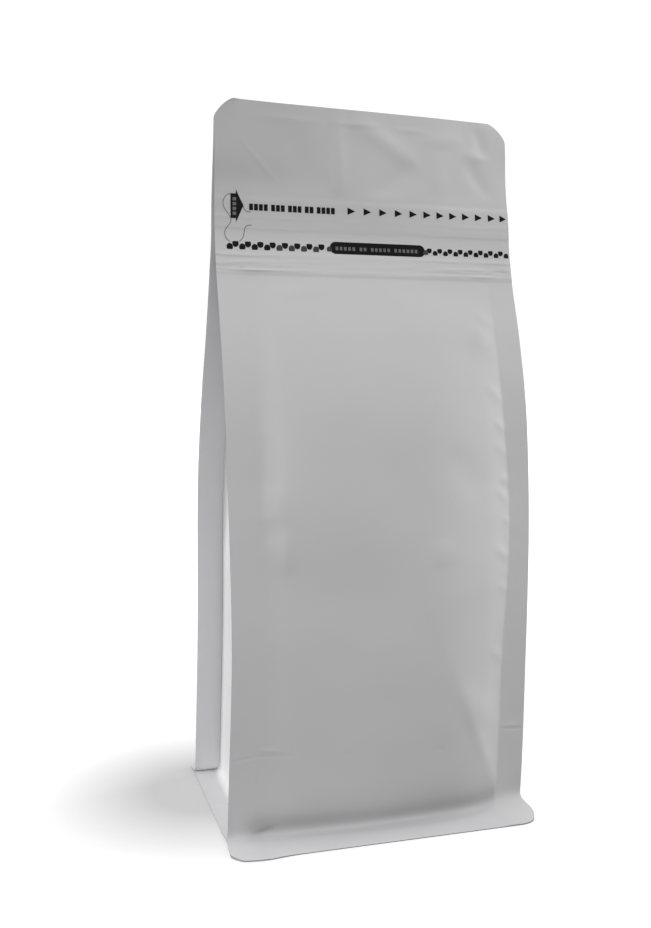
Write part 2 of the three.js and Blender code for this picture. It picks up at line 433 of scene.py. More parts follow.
BELLY_DENTS = [  # the same columns, below the zip
    ((-50.0, 153.0), (-50.0, 146.0), 4.0, 0.5),
    ((-49.0, 137.0), (-45.0, 119.0), 4.0, 0.55),
    ((22.0, 133.0), (25.0, 120.0), 6.0, 0.5),
    ((30.0, 172.0), (44.0, 150.0), 7.0, -0.5),
    ((47.0, 228.0), (52.0, 214.0), 6.0, 0.6),
    ((-46.0, 238.0), (-20.0, 243.0), 3.0, 0.35),
    ((34.0, 66.0), (52.0, 44.0), 6.0, 0.6),
    ((36.0, 60.0), (56.5, 14.0), 3.0, 0.35),
    ((-58.6, 38.0), (-58.4, 9.0), 0.8, -0.16),
    ((-70.0, 38.6), (-57.0, 40.2), 0.6, -0.16),
    ((-59.0, 40.2), (-42.0, 39.4), 0.6, -0.14),
    ((-57.0, 42.4), (-47.0, 42.0), 1.0, 0.2),
    ((57.5, 41.5), (70.0, 40.6), 0.7, -0.2),
    ((57.5, 43.2), (70.0, 42.3), 0.9, 0.16),
    ((-17.6, 38.8), (-17.2, 38.7), 0.7, -0.3),
    ((24.5, 38.0), (24.9, 37.8), 0.7, -0.3),
    ((-58.1, 221.5), (-58.0, 221.0), 0.7, -0.3),
]
PUCKERS = [  # height where each starts at the right fin, its length, rise, width and size, mm
    (227.0, 9.0, 5.0, 2.6, 0.3), (193.0, 8.0, 7.0, 2.2, 0.3), (179.0, 5.0, 5.0, 1.7, 0.35),
    (168.0, 6.0, 6.0, 2.0, 0.3), (156.0, 4.0, 3.0, 1.5, 0.35), (146.0, 7.0, 8.0, 1.8, 0.3),
    (138.0, 4.0, 2.0, 1.4, 0.4), (121.0, 8.0, 7.0, 2.2, 0.4), (106.0, 5.0, 5.0, 1.8, 0.4),
    (75.0, 7.0, 6.0, 2.2, 0.45),
]

relief_tables = (ZIP_RIDGES, HEADER_FOLDS, ZIP_MARKS, BELLY_DENTS, PUCKERS)
print("ridges, folds, zip marks, dents and puckers:", [len(table) for table in relief_tables])

# %% Streaks, and the relief of each panel
STREAK_CUT = 3.0
SHORT_STREAK = 2.0
STREAK_END = 0.02
STREAK_TAPER = 0.7


def streak(x, z, start, end, width):
    """A soft ridge of height 1 along a line. A long one fades out towards its ends."""
    run, rise = end[0] - start[0], end[1] - start[1]
    along = ((x - start[0]) * run + (z - start[1]) * rise) / (run * run + rise * rise)
    along = min(max(along, 0.0), 1.0)
    away = math.hypot(x - start[0] - run * along, z - start[1] - rise * along)
    if away > STREAK_CUT * width:
        return 0.0
    fade = 1.0
    if math.hypot(run, rise) >= SHORT_STREAK * width:
        inside = min(max(along, STREAK_END), 1.0 - STREAK_END)
        fade = math.sin(math.pi * inside) ** STREAK_TAPER
    return fade * math.exp(-((away / width) ** 2))


def streaks(table, x, z):
    return sum(size * streak(x, z, start, end, width) for start, end, width, size in table)


ZIP_LOW, ZIP_HIGH = 244.0, 286.0
RIDGE_STRENGTH = 1.5
RIDGE_UNEVENNESS = 1.6
SOFT_MIDDLE = 0.35
STRIP_HEIGHTS = (266.0, 270.0, 279.6, 282.4)
TRACK_HEIGHTS = (247.0, 248.4, 256.5, 258.5)
TRACK_RELIEF = 0.22


def plateau(z, heights):
    """A flat-topped rise from 0 to 1 and back, between four heights."""
    foot, start, end, top = heights
    return smooth_step(top, end, z) * smooth_step(foot, start, z)


def zip_relief(x, z):
    """The welded tear strip and zip, pressed through from behind. They are softest in the middle."""
    if not ZIP_LOW < z < ZIP_HIGH:
        return 0.0
    crisp = SOFT_MIDDLE + (1.0 - SOFT_MIDDLE) * smooth_step(18.0, 44.0, abs(x))
    ridges = 0.0
    for height, width, size in ZIP_RIDGES:
        uneven = 1.0 + RIDGE_UNEVENNESS * ripple(x, 8.0 * z, 11.0, height)
        ridges += RIDGE_STRENGTH * size * hump(z, height, width) * uneven
    strip = (0.2 + 0.2 * smooth_step(-20.0, 60.0, x)) * plateau(z, STRIP_HEIGHTS)
    track = TRACK_RELIEF * plateau(z, TRACK_HEIGHTS)
    return crisp * ridges + strip + track + streaks(ZIP_MARKS, x, z)


HEADER_LOW, HEADER_FREE = 262.0, 300.0
HEADER_TWIST = 0.07
TWIST_LENGTH = 60.0
SWAY, SWAY_LENGTH, SWAY_START = 0.3, 17.0, 0.6
MOUTH_PINCH = 0.26


def header_shift(x, z):
    """The header's twist and soft folds, as a shift towards the camera of all its layers."""
    above = smooth_step(HEADER_LOW, HEADER_FREE, z)
    if above == 0.0:
        return 0.0
    sway = SWAY * math.sin(x / SWAY_LENGTH + SWAY_START) + 0.5 * ripple(x, z, 26.0, 1.0)
    twist = -HEADER_TWIST * x * (z - HEADER_LOW) / TWIST_LENGTH
    return above * (sway + twist) + smooth_step(282.0, 288.0, z) * streaks(HEADER_FOLDS, x, z)


def header_pinch(x, z):
    """The open mouth between the two gussets is pressed shut."""
    return MOUTH_PINCH * smooth_step(300.0, 319.0, z) * smooth_step(26.0, 12.0, abs(x))


FOOT_CREASE, BELLY_TOP = 40.0, 250.0
PUCKER_INNER = 44.0
PUCKER_START = FIN_LINE + 0.1


def seam_puckers(x, z):
    """Short puckers where the belly starts at the right fin, and a little unevenness at both."""
    if abs(x) < PUCKER_INNER or not FOOT_CREASE < z < BELLY_TOP:
        return 0.0
    beside = hump(abs(x), FIN_LINE - 2.5, 3.2)
    relief = 0.3 * beside * max(ripple(x * 0.5, z, 7.0, 8.0) - 0.12, 0.0)
    if x > 0:
        for start, length, rise, width, size in PUCKERS:
            inner_end = (PUCKER_START - length, start + rise)
            relief += size * streak(x, z, (PUCKER_START, start), inner_end, width)
    return relief


TOP_SEAL, BELOW_SEAL = 312.0, 295.0
BACK_ZIP_SHARE = 0.6
BACK_PUCKER_DROP = 31.0


def front_relief(x, z):
    calm = smooth_step(TOP_SEAL, BELOW_SEAL, z)
    uneven = 0.35 * ripple(x, z, 48.0, 2.0) + 0.1 * ripple(x, z, 17.0, 3.0)
    dents = streaks(BELLY_DENTS, x, z) if z < BELLY_TOP else 0.0
    return calm * uneven + zip_relief(x, z) + seam_puckers(x, z) + dents - header_pinch(x, z)


def back_relief(x, z):
    """The back isn't seen in the photograph. It has a softer zip, and puckers on its own right."""
    calm = smooth_step(TOP_SEAL, BELOW_SEAL, z)
    uneven = 0.45 * ripple(x, z, 44.0, 12.0) + 0.1 * ripple(x, z, 15.0, 13.0)
    pressed = BACK_ZIP_SHARE * zip_relief(-x, z) + seam_puckers(-x, z + BACK_PUCKER_DROP)
    return calm * uneven + pressed - header_pinch(x, z)


print("relief on the zip's lowest ridge:", round(front_relief(50.0, ZIP_RIDGES[-1][0]), 2), "mm")

# %% [markdown]
# ## Front and back panels
# A panel is one sheet from the top edge to the tip of its bottom flange. Rows are named by
# their height while the film stands up. Below the foot line they are steps from 0 to -1
# round the foot's bend and out along the flange, so one grid holds the header, belly,
# fins and flange without a joint. Every column has its own bend, because the belly hangs
# over the flange in the middle while the fins come down flat.

# %% Widths
WAIST, WAIST_HEIGHT, WAIST_SPREAD = 1.2, 88.0, 55.0
SWELL, SWELL_HEIGHT, SWELL_SPREAD = 2.6, 135.0, 48.0
FRONT_REACH, BACK_REACH = 57.75, 57.35
LEFT_BULGE = 1.4
HEADER_LEAN = 1.2
HEADER_ROUNDNESS = 1.35
RIGHT_FLANGE, LEFT_FLANGE = 20.0, 25.0


def waist(z):
    """The fins curl a little where the belly is fullest, so the pouch is narrower there."""
    return WAIST * hump(z, WAIST_HEIGHT, WAIST_SPREAD)


def belly_edge(a, z):
    """Where the belly ends and a fin starts. On the right the belly is pressed out over the fin."""
    swell = SWELL * hump(z, SWELL_HEIGHT, SWELL_SPREAD) if a > 0 else 0.0
    return FIN_LINE - waist(z) + swell


def flange_reach(which, a):
    """How far the flange's edge lies from the middle. The front one bulges at its left end."""
    return FRONT_REACH + LEFT_BULGE * hump(a, -59.0, 9.0) if which == "front" else BACK_REACH


def flange_corner(a):
    """Reach and roundness of the flange's corner, and how far the flange spreads at that end."""
    return (8.5, 2.0, 3.2) if a > 0 else (5.0, 1.3, 0.7)


def edge_x(a, z, t):
    """Half the width of the sheet, narrowed by its corners and spread a little in the flange."""
    standing = HALF_WIDTH - waist(z)
    if t <= 0:
        lean = HEADER_LEAN * smooth_step(284.0, 314.0, z) if a > 0 else 0.0
        return standing + lean - corner_inset(HEIGHT - z, HEADER_CORNER, HEADER_ROUNDNESS)
    reach, roundness, spread = flange_corner(a)
    from_tip = (1 - t) * (RIGHT_FLANGE if a > 0 else LEFT_FLANGE)
    return standing + spread * smooth_step(0.05, 0.6, t) - corner_inset(from_tip, reach, roundness)


def column_x(a, z, t=0.0):
    """A column's place across the sheet: a is its place on a plain 140 mm sheet."""
    inner = belly_edge(a, z)
    if abs(a) <= FIN_LINE:
        return a * inner / FIN_LINE
    share = (abs(a) - FIN_LINE) / FIN
    return math.copysign(inner + share * (edge_x(a, z, t) - inner), a)


print("half the width at the waist:", round(HALF_WIDTH - waist(WAIST_HEIGHT), 1), "mm")

# %% Where a panel's film stands
PANELS = {"front": (-1, FRONT, front_relief), "back": (1, BACK, back_relief)}
FULLEST_LOW = 22.0
ROUND_POWER = 3.0
RIGHT_STEEPER, LEFT_STEEPER = 0.8, 1.8


def belly_share(a, z):
    """How much of the belly shows at one column. Low down its fullest part sits to the right."""
    low = smooth_step(165.0, 105.0, z)
    fullest = FULLEST_LOW * low
    if a > fullest:
        across = (a - fullest) / (FIN_LINE - fullest)
        power = ROUND_POWER - RIGHT_STEEPER * low
    else:
        across = (fullest - a) / (FIN_LINE + fullest)
        power = ROUND_POWER - LEFT_STEEPER * low
    share = 1.0 - min(across, 1.0) ** power
    return share if a > 0 else share * smooth_step(58.5, 45.0, -a)


FOOT_TOP = 10.0
FLANGE_TOP = PLY + GAP + FILM
BACK_CREASE, FRONT_CREASE = 1.0, 2.7
KNEE_OUT = 5.0
BEND_RADIUS = 2.2
BEND_LENGTH = 1.6
NEARBY = 0.02


def crease_height(which, a):
    """How high the crease between a panel and its flange lies. The front's right end curls up."""
    if which == "back":
        return BACK_CREASE + 1.2 * smooth_step(48.0, 58.0, abs(a))
    return FRONT_CREASE + 1.9 * smooth_step(-10.0, 36.0, a) + 3.4 * smooth_step(48.0, 70.0, a)


def round_bend(start, corner, end, s):
    """A point of the smooth bend from start to end that a corner pulls out."""
    return start * (1 - s) ** 2 + corner * 2 * s * (1 - s) + end * s * s


def foot_point(which, a, t):
    """A point of the foot, as a distance from the middle plane and a height."""
    height = crease_height(which, a)
    tip_height = FLANGE_TOP + (PLY + GAP) * smooth_step(54.0, 58.0, abs(a))
    top = Vector((panel_out(which, a, FOOT_TOP), FOOT_TOP))
    crease = Vector((panel_out(which, a, height), height))
    knee = Vector((crease.x + KNEE_OUT, tip_height + 0.1 + 0.14 * height))
    tip = Vector((flange_reach(which, a), tip_height))
    radius = min(BEND_RADIUS, 0.8 * (top - crease).length)
    before = crease + (top - crease).normalized() * radius
    after = crease + (knee - crease).normalized() * radius
    upright = (top - before).length
    turn = BEND_LENGTH * radius
    flat = (knee - after).length + (tip - knee).length
    along = t * (upright + turn + flat)
    if along < upright:
        return top.lerp(before, along / upright)
    if along < upright + turn:
        return round_bend(before, crease, after, (along - upright) / turn)
    return round_bend(after, knee, tip, (along - upright - turn) / flat)


def panel_out(which, a, z):
    """How far a panel stands out from the middle plane."""
    side, column, relief = PANELS[which]
    return side * profile(column, z) + profile(BELLY, z) * belly_share(a, z) + relief(a, z)


def panel_point(which, a, b, inset=0.0):
    """A point of a panel: b is a height, or from 0 to -1 a step round the foot."""
    side = PANELS[which][0]
    z = b if b > 0 else FOOT_TOP
    x = column_x(a, z, max(-b, 0.0))
    if b > 0:
        return x, side * (panel_out(which, a, z) - inset) - header_shift(a, z), z
    t = -b
    point = foot_point(which, a, t)
    slope = foot_point(which, a, min(t + NEARBY, 1.0)) - foot_point(which, a, max(t - NEARBY, 0.0))
    slope.normalize()
    return x, side * (point.x + slope.y * inset), point.y - slope.x * inset


print("front crease, mm up at the left, middle and right:",
      [round(crease_height("front", a), 1) for a in (-HALF_WIDTH, 0.0, HALF_WIDTH)])

# %% [markdown]
# ## Painted light and shade on the film
# The panel turns under in a tight fold just above its flange, and the film there lies in
# deep shade. The flange faces up and looks lighter in the light. Lights alone don't give
# that dark band, since the flange throws its own light back up into the fold. So the panel
# carries a tone at each point, 1 for plain film, and the material multiplies its tint by
# it: painted shade in the fold, painted light on the flange, and a few painted highlights
# and shades on the belly and header. A painted image could do this too, but a function of
# the place on the panel stays sharp at every size and needs no file.

# %% Painted light and shade of the panels
FOLD_DARKEST = 5.0
FOLD_RECOVERY = 2.0
FOLD_SPREADS = ((0.62, 5.0), (0.38, 13.0))
LEFT_FOLD_DEPTH, RIGHT_FOLD_DEPTH = 0.4, 0.34
LEFT_FIN_SHARE, RIGHT_FIN_SHARE = 0.4, 0.35
FLANGE_PAINTED_LIGHT = 0.1
MITRE_SHADE_LINE = ((-60.5, 4.3), (-49.0, 7.2), 1.3)
UNDER_ZIP = 247.9
BELLY_SHADE_HEIGHT, BELLY_SHADE_SPREAD = 185.0, 38.0


def fold_shade(which, a, b, height):
    """How much shade is painted into the film near the crease above the flange, from 0 to 1."""
    above = max(height - crease_height(which, a), 0.0)
    out = 0.0
    if b <= 0 and above == 0.0:
        out = max(foot_point(which, a, -b).x - foot_point(which, a, 0.0).x, 0.0)
    beyond = max(above - FOLD_DARKEST, 0.0)
    shade = sum(share * hump(beyond, 0.0, width) for share, width in FOLD_SPREADS)
    return shade * (0.5 + 0.5 * smooth_step(0.0, FOLD_DARKEST, above)) * math.exp(-out / FOLD_RECOVERY)


def fold_depth(a):
    """How dark the painted shade in the fold gets. It is fainter on the flat fins."""
    if a < 0:
        belly = LEFT_FOLD_DEPTH - 0.06 * smooth_step(-40.0, 0.0, a)
        return belly * (LEFT_FIN_SHARE + (1.0 - LEFT_FIN_SHARE) * smooth_step(68.0, 56.0, -a))
    return RIGHT_FOLD_DEPTH * (RIGHT_FIN_SHARE + (1.0 - RIGHT_FIN_SHARE) * smooth_step(58.5, 55.5, a))


def pillow_highlight(a, height):
    """A painted highlight where the belly turns to the right, above a slanting line."""
    turn_line = 60.0 - 2.3 * (a - 36.0)
    across = smooth_step(12.0, 44.0, a) * smooth_step(58.0, 56.5, a)
    up = smooth_step(225.0, 180.0, height) * smooth_step(turn_line - 8.0, turn_line + 8.0, height)
    return (0.09 + 0.06 * smooth_step(44.0, 52.0, a)) * across * up


def header_painted_shade(a, height):
    """Painted shade that makes the header darker towards its left, and the tear strip is a little greyer
    too.
    """
    above_strip = (0.02 + 0.12 * smooth_step(20.0, -50.0, a)) * smooth_step(284.0, 292.0, height)
    strip = 0.05 * smooth_step(40.0, 0.0, a) * plateau(height, (262.0, 268.0, 284.0, 292.0))
    return above_strip + strip


def front_tone(a, height):
    """The painted highlights and shades on the front alone."""
    # Painted shade in a thin line under the zip's lowest ridge.
    under_zip_shade = 0.07 * hump(height, UNDER_ZIP, 0.9) * smooth_step(66.0, 50.0, abs(a))
    # Painted shade across the middle of the belly.
    belly = 0.05 * hump(height, BELLY_SHADE_HEIGHT, BELLY_SHADE_SPREAD)
    # Painted shade in the dark wedge of the left mitre crease at the foot.
    mitre_shade = 0.2 * streak(a, height, *MITRE_SHADE_LINE)
    return pillow_highlight(a, height) - header_painted_shade(a, height) - under_zip_shade - belly - mitre_shade


def panel_tone(which, a, b):
    """The painted light and shade of a panel at column a and row b, as a tone."""
    height = b if b > 0 else foot_point(which, a, -b).y
    # Painted light on the flange, which faces up, fading towards the right.
    flange = (FLANGE_PAINTED_LIGHT - 0.09 * smooth_step(0.0, 44.0, a)) * smooth_step(-0.1, -0.6, b)
    own = front_tone(a, height) if which == "front" else 0.0
    return PLAIN_TONE - fold_depth(a) * fold_shade(which, a, b, height) + flange + own


print("tone in the fold and on the flange:",
      [round(panel_tone("front", -30.0, b), 2) for b in (8.0, -0.9)])

# %% Make the panels
FIN_BEND = 0.6
half_columns = graded((0.0, 46.0, 1.3), (46.0, FIN_LINE - FIN_BEND, 1.0),
                      (FIN_LINE - FIN_BEND, FIN_LINE + FIN_BEND, FIN_BEND),
                      (FIN_LINE + FIN_BEND, HALF_WIDTH, 1.3))
columns = [-a for a in reversed(half_columns[1:])] + half_columns
foot_rows = graded((0.0, -1.0, 0.028))
front_rows = graded((HEIGHT, 284.0, 1.0), (284.0, 245.0, 0.45), (245.0, 44.0, 1.4),
                    (44.0, 37.0, 0.6), (37.0, FOOT_TOP, 1.2))[:-1] + foot_rows
back_rows = graded((HEIGHT, 312.0, 1.0), (312.0, 284.0, 2.4), (284.0, 245.0, 0.6),
                   (245.0, 24.0, 2.4), (24.0, FOOT_TOP, 1.2))[:-1] + foot_rows

front_panel = film_sheet("front_panel", columns, front_rows, lambda a, b: panel_point("front", a, b),
                         FILM, white_film, cut_edge, flip=True,
                         tone=lambda a, b: panel_tone("front", a, b))
back_panel = film_sheet("back_panel", columns, back_rows, lambda a, b: panel_point("back", a, b),
                        FILM, white_film, cut_edge,
                        tone=lambda a, b: panel_tone("back", a, b))

# %% [markdown]
# ## Side gussets
# A gusset keeps its width from top to bottom. Low down it stands as a flat wall, and as
# the panels close together it folds inward along a crease, which reaches right into the
# header. An exactly constant width would start that fold all at once, with a hard level
# line across the wall, so it starts gently. At the foot the film turns out to lie on the
# base. The wall is one sheet, and its two seal margins are narrow sheets behind the fins,
# as they are on the real pouch.

# %% Gusset walls and seal margins
WALL_TURN = 4.0
GENTLE_START = 16.0
# Painted shade: the seal margins face away from the light beside the fins, so their tint is greyer.
SEAL_SHADE_TONE = 0.88  # the margins behind the fins are a little greyer than the wall
STRIP_HEIGHT = 0.75
STRIP_END_HEIGHT = 1.6
FLANGE_START = 42.0
BESIDE_FIN_LINE = 58.0
BEND_STEPS = 60
ARC_LENGTH = WALL_TURN * math.pi / 2
WALL_START = STRIP_HEIGHT + WALL_TURN


def wall_path(b):
    """How far the wall's film has turned out, and its height, b being film length from the turn."""
    if b >= ARC_LENGTH:
        return 0.0, WALL_START + b - ARC_LENGTH
    if b >= 0:
        angle = (1 - b / ARC_LENGTH) * math.pi / 2
        return WALL_TURN * (1 - math.cos(angle)), STRIP_HEIGHT + WALL_TURN * (1 - math.sin(angle))
    return WALL_TURN - b, STRIP_HEIGHT


def fin_out(which, side, z):
    """How far a fin stands out at a height, following its bend near the floor."""
    a = side * BESIDE_FIN_LINE
    if z >= FOOT_TOP:
        return panel_out(which, a, z)
    bend = (foot_point(which, a, k / BEND_STEPS) for k in range(BEND_STEPS + 1))
    return next((point.x for point in bend if point.y <= z), FLANGE_START)


def crease_depth(z):
    """How far the gusset folds in where the panels stand closer than its width. It starts gently."""
    half = (profile(BACK, z) - profile(FRONT, z)) / 2
    depth = math.sqrt(max(GUSSET_FLANK ** 2 - half * half, 0.0))
    return depth * (1.0 - hump(depth, 0.0, GENTLE_START))


def base_rise(y):
    """The base film lifts a little towards the two flanges."""
    height = 1.2 if y < 0 else 0.5
    return height * smooth_step(26.0, 40.0, abs(y)) * smooth_step(48.0, 43.0, abs(y))


def base_fold(y):
    """The base's own fold, a low sharp ridge across its middle."""
    return 0.9 * math.exp(-abs(y) / 0.8)


def gusset_point(side, u, b):
    """A point of a gusset wall: u runs from the front fin at 0 to the back fin at 1."""
    out, z = wall_path(b)
    meeting = max(z, STRIP_END_HEIGHT)
    front = MARGIN - fin_out("front", side, meeting)
    back = fin_out("back", side, meeting) - MARGIN
    half = max((back - front) / 2, GAP)
    fold = 2 * abs(u - 0.5)
    sharpness = 1.06 + 0.9 * smooth_step(175.0, 110.0, z)
    depth = crease_depth(z) * (1 - fold ** sharpness)
    uneven = 0.4 * ripple(u * 80.0, z, 30.0, 20.0 + side) * math.sin(math.pi * u) * smooth_step(300, 250, z)
    y = (front + back) / 2 + (2 * u - 1) * half
    x = side * (belly_edge(side * FIN_LINE, z) - depth + out + uneven * (1 if out == 0 else 0))
    lift = (base_rise(y) + base_fold(y)) * smooth_step(WALL_TURN * 0.3, WALL_TURN * 1.2, out)
    return x, y - header_shift(x, z), z + lift


wall_across = graded((0.0, 0.47, 0.0335), (0.47, 0.53, 0.006), (0.53, 1.0, 0.0335))
wall_rows = graded((HEIGHT - WALL_START + ARC_LENGTH - 0.4, 40.0, 3.0), (40.0, ARC_LENGTH, 2.0),
                   (ARC_LENGTH, 0.0, 0.7), (0.0, WALL_TURN - FIN, 1.0))
seal_columns = graded((FIN_LINE + 0.1, HALF_WIDTH - 0.1, 1.3))
seal_rows = graded((HEIGHT - 0.2, 312.0, 1.0), (312.0, 24.0, 2.4), (24.0, FOOT_TOP, 1.2))[:-1] + foot_rows

film_pieces = [front_panel, back_panel]
for label, side in (("left", -1), ("right", 1)):
    wall = film_sheet(f"{label}_gusset", wall_across, wall_rows,
                      lambda u, b, s=side: gusset_point(s, u, b),
                      PLY, gusset_film, pale_edge, flip=side > 0)
    film_pieces.append(wall)
    for which in PANELS:
        margin = film_sheet(f"{label}_{which}_seal", [side * a for a in seal_columns], seal_rows,
                            lambda a, b, w=which: panel_point(w, a, b, FILM + GAP),
                            PLY, gusset_film, pale_edge, flip=(which == "front") == (side > 0),
                            tone=lambda a, b: SEAL_SHADE_TONE)
        film_pieces.append(margin)

# %% [markdown]
# ## Base
# The base is one sheet, folded once across its middle when the pouch is flat. It runs from
# the tip of the front flange to the tip of the back one, and its ends lie under the strips
# that the gussets turn out.

# %% Base film
BASE_HALF = 57.0


def base_point(x, y):
    """A point of the base, x and y being its place on a plain sheet of 140 by 114 mm."""
    reach = flange_reach("front" if y < 0 else "back", x) - 0.3
    corner_reach, roundness, spread = flange_corner(x)
    half = HALF_WIDTH - 0.2 - corner_inset(BASE_HALF - abs(y), corner_reach, roundness)
    half += spread * smooth_step(43.0, 51.0, abs(y))
    return x * half / HALF_WIDTH, y * reach / BASE_HALF, PLY + base_rise(y) * 0.9 + base_fold(y)


base_columns = graded((-HALF_WIDTH, HALF_WIDTH, 2.5))
base_rows = graded((-BASE_HALF, -44.0, 0.8), (-44.0, -3.0, 2.0), (-3.0, 3.0, 0.5),
                   (3.0, 44.0, 2.0), (44.0, BASE_HALF, 0.8))
base_film = film_sheet("base_film", base_columns, base_rows, base_point, PLY, base_finish, pale_edge)
film_pieces.append(base_film)

# %% [markdown]
# ## Print
# The header carries a tear row and a zip row: an arrow with a die-cut pull, a row of
# pointers, two runs of interlocking dots and a dark capsule between them. Words are left
# out, and plain blocks take their place. Each mark is a very thin shape that follows the
# film. It is drawn flat, with x across and y up, and then laid on the front panel.

# %% Ink helpers
INK_LIFT = 0.09
INK_THICKNESS = 0.05


def ink_piece(name, bm, material, lift=INK_LIFT, thickness=INK_THICKNESS):
    """Lays flat shapes on the front film, just proud of it, and gives them a little thickness."""
    for vert in bm.verts:
        x, y, z = panel_point("front", vert.co.x, vert.co.y)
        vert.co = Vector((x, y - lift, z))
    bm.normal_update()
    bmesh.ops.reverse_faces(bm, faces=[face for face in bm.faces if face.normal.y > 0])
    thicken(bm, thickness)
    for face in bm.faces:
        face.material_index = 0
    piece = finish_mesh(name, bm, (material,))
    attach(piece, BODY)
    print(name, len(piece.data.polygons), "faces")
    return piece


def block(bm, left, right, low, high, cell=0.8):
    """A rectangle of small cells."""
    wide, tall = max(1, round((right - left) / cell)), max(1, round((high - low) / cell))
    made = bmesh.ops.create_grid(bm, x_segments=wide, y_segments=tall, size=0.5)
    for vert in made["verts"]:
        vert.co.x = left + (vert.co.x + 0.5) * (right - left)
        vert.co.y = low + (vert.co.y + 0.5) * (high - low)
    return made["verts"]


def warp(verts, bounds_at):
    """Moves a block's cells so that at each x it fills the span from low to high of bounds_at(x)."""
    low = min(vert.co.y for vert in verts)
    high = max(vert.co.y for vert in verts)
    for vert in verts:
        floor_y, top_y = bounds_at(vert.co.x)
        vert.co.y = floor_y + (vert.co.y - low) / (high - low) * (top_y - floor_y)


def ribbon(bm, points, width):
    """A thin line through the points."""
    sides = []
    for i, point in enumerate(points):
        here = Vector(point)
        ahead = Vector(points[min(i + 1, len(points) - 1)]) - Vector(points[max(i - 1, 0)])
        across = Vector((-ahead.y, ahead.x)).normalized() * width / 2
        sides.append([bm.verts.new((*(here + across), 0.0)), bm.verts.new((*(here - across), 0.0))])
    for first, second in zip(sides, sides[1:]):
        bm.faces.new((first[0], first[1], second[1], second[0]))


def curve_value(a, b, c, d, t):
    """A value between b and c, on the smooth curve through four values in a row."""
    bend = 2 * a - 5 * b + 4 * c - d
    twist = 3 * b - a - 3 * c + d
    return 0.5 * (2 * b + (c - a) * t + bend * t * t + twist * t ** 3)


def smooth_path(points, steps=5):
    """More points on a curve through the given ones."""
    path = []
    padded = [points[0], *points, points[-1]]
    for four in zip(padded, padded[1:], padded[2:], padded[3:]):
        path += [tuple(curve_value(*values, k / steps) for values in zip(*four)) for k in range(steps)]
    return path + [points[-1]]


print("the ink's face stands", INK_LIFT, "mm proud of the film")

# %% Tear row: pointers, word blocks and the pull arrow
ROW_MIDDLE = 277.3
POINTERS = [-9.5, -1.9, 5.6, 13.1, 20.2, 27.0, 33.5, 39.9, 46.4, 53.0, 59.6, 65.6]
POINTER_HALF = 1.6
POINTER_LENGTH, LAST_POINTER_LENGTH = 3.6, 3.3
BLUNT_END = 0.12
WORD_LENGTHS = [4, 3, 3, 2, 4]


def pointer_bounds(x, left, length):
    """The span of a pointer at x. It is full at its left end and narrows to its right one."""
    half = POINTER_HALF * (1 - (x - left) / length)
    return ROW_MIDDLE - half, ROW_MIDDLE + half


pointers = bmesh.new()
for left in POINTERS:
    length = POINTER_LENGTH if left < POINTERS[-1] else LAST_POINTER_LENGTH
    verts = block(pointers, left, left + length - BLUNT_END, -1.0, 1.0, 0.6)
    warp(verts, lambda x, start=left, n=length: pointer_bounds(x, start, n))
ink_piece("tear_pointers", pointers, black_ink)


def word_row(bm, left, middle, half, pitch, stroke, space, lengths, cell):
    """Groups of plain blocks that stand in for words."""
    for length in lengths:
        for _ in range(length):
            block(bm, left, left + stroke, middle - half, middle + half, cell)
            left += pitch
        left += space


words = bmesh.new()
word_row(words, left=-54.6, middle=277.0, half=1.4, pitch=2.2, stroke=1.72, space=1.1,
         lengths=WORD_LENGTHS, cell=0.9)
ink_piece("tear_row_blocks", words, black_ink)

ARROW_LEFT, ARROW_NECK, ARROW_TIP = -62.9, -60.5, -57.3


def arrow_head_bounds(x):
    """The span of the arrow's head, which narrows to its tip."""
    along = (x - ARROW_NECK) / (ARROW_TIP - ARROW_NECK)
    return 270.1 + 7.1 * along, 284.2 - 6.6 * along


arrow = bmesh.new()
block(arrow, ARROW_LEFT, ARROW_NECK, 271.8, 282.4, 0.8)
warp(block(arrow, ARROW_NECK, ARROW_TIP, -1.0, 1.0, 0.55), arrow_head_bounds)
ink_piece("pull_arrow", arrow, black_ink)

MARK_PITCH = 2.05
MARK_LIFT = INK_LIFT + 0.05
MARK_THICKNESS = 0.03
arrow_marks = bmesh.new()
for k in range(4):
    block(arrow_marks, -62.0, -60.4, 273.2 + MARK_PITCH * k, 274.6 + MARK_PITCH * k, 0.8)
ink_piece("pull_arrow_marks", arrow_marks, grey_ink, lift=MARK_LIFT, thickness=MARK_THICKNESS)

# %% Zip row: interlocking dots and the capsule
DOT_HALF_WIDTH = 1.5
DOT_HALF_HEIGHT = 1.7
DOT_CUT = 1.05
LEFT_PITCH, RIGHT_PITCH = 5.55, 5.13
LEFT_SIZE, RIGHT_SIZE = 0.94, 0.8
CAPSULE_LEFT, CAPSULE_RIGHT = -18.2, 27.2
CAPSULE_MIDDLE, CAPSULE_HALF = 260.65, 2.72


def dot(bm, x, z, up, scale=1.0):
    """A dome with a flat side: up says whether the dome points up."""
    made = bmesh.ops.create_circle(bm, cap_ends=True, segments=20, radius=1.0)
    for vert in made["verts"]:
        height = max(vert.co.y * DOT_HALF_HEIGHT, -DOT_CUT)
        vert.co.y = z + scale * (height if up else -height)
        vert.co.x = x + scale * DOT_HALF_WIDTH * vert.co.x


dots, worn_dots = bmesh.new(), bmesh.new()
for k in range(8):
    dot(dots if k < 4 else worn_dots, -63.55 + LEFT_PITCH * k, 259.4, up=True, scale=LEFT_SIZE)
    dot(dots, -61.0 + LEFT_PITCH * k, 260.95, up=False, scale=LEFT_SIZE)
    dot(dots, 29.5 + RIGHT_PITCH * k, 261.2, up=False, scale=RIGHT_SIZE)
    dot(dots, 32.3 + RIGHT_PITCH * k, 259.75, up=True, scale=RIGHT_SIZE)
ink_piece("zip_dots", dots, black_ink)
ink_piece("zip_dots_worn", worn_dots, worn_ink)


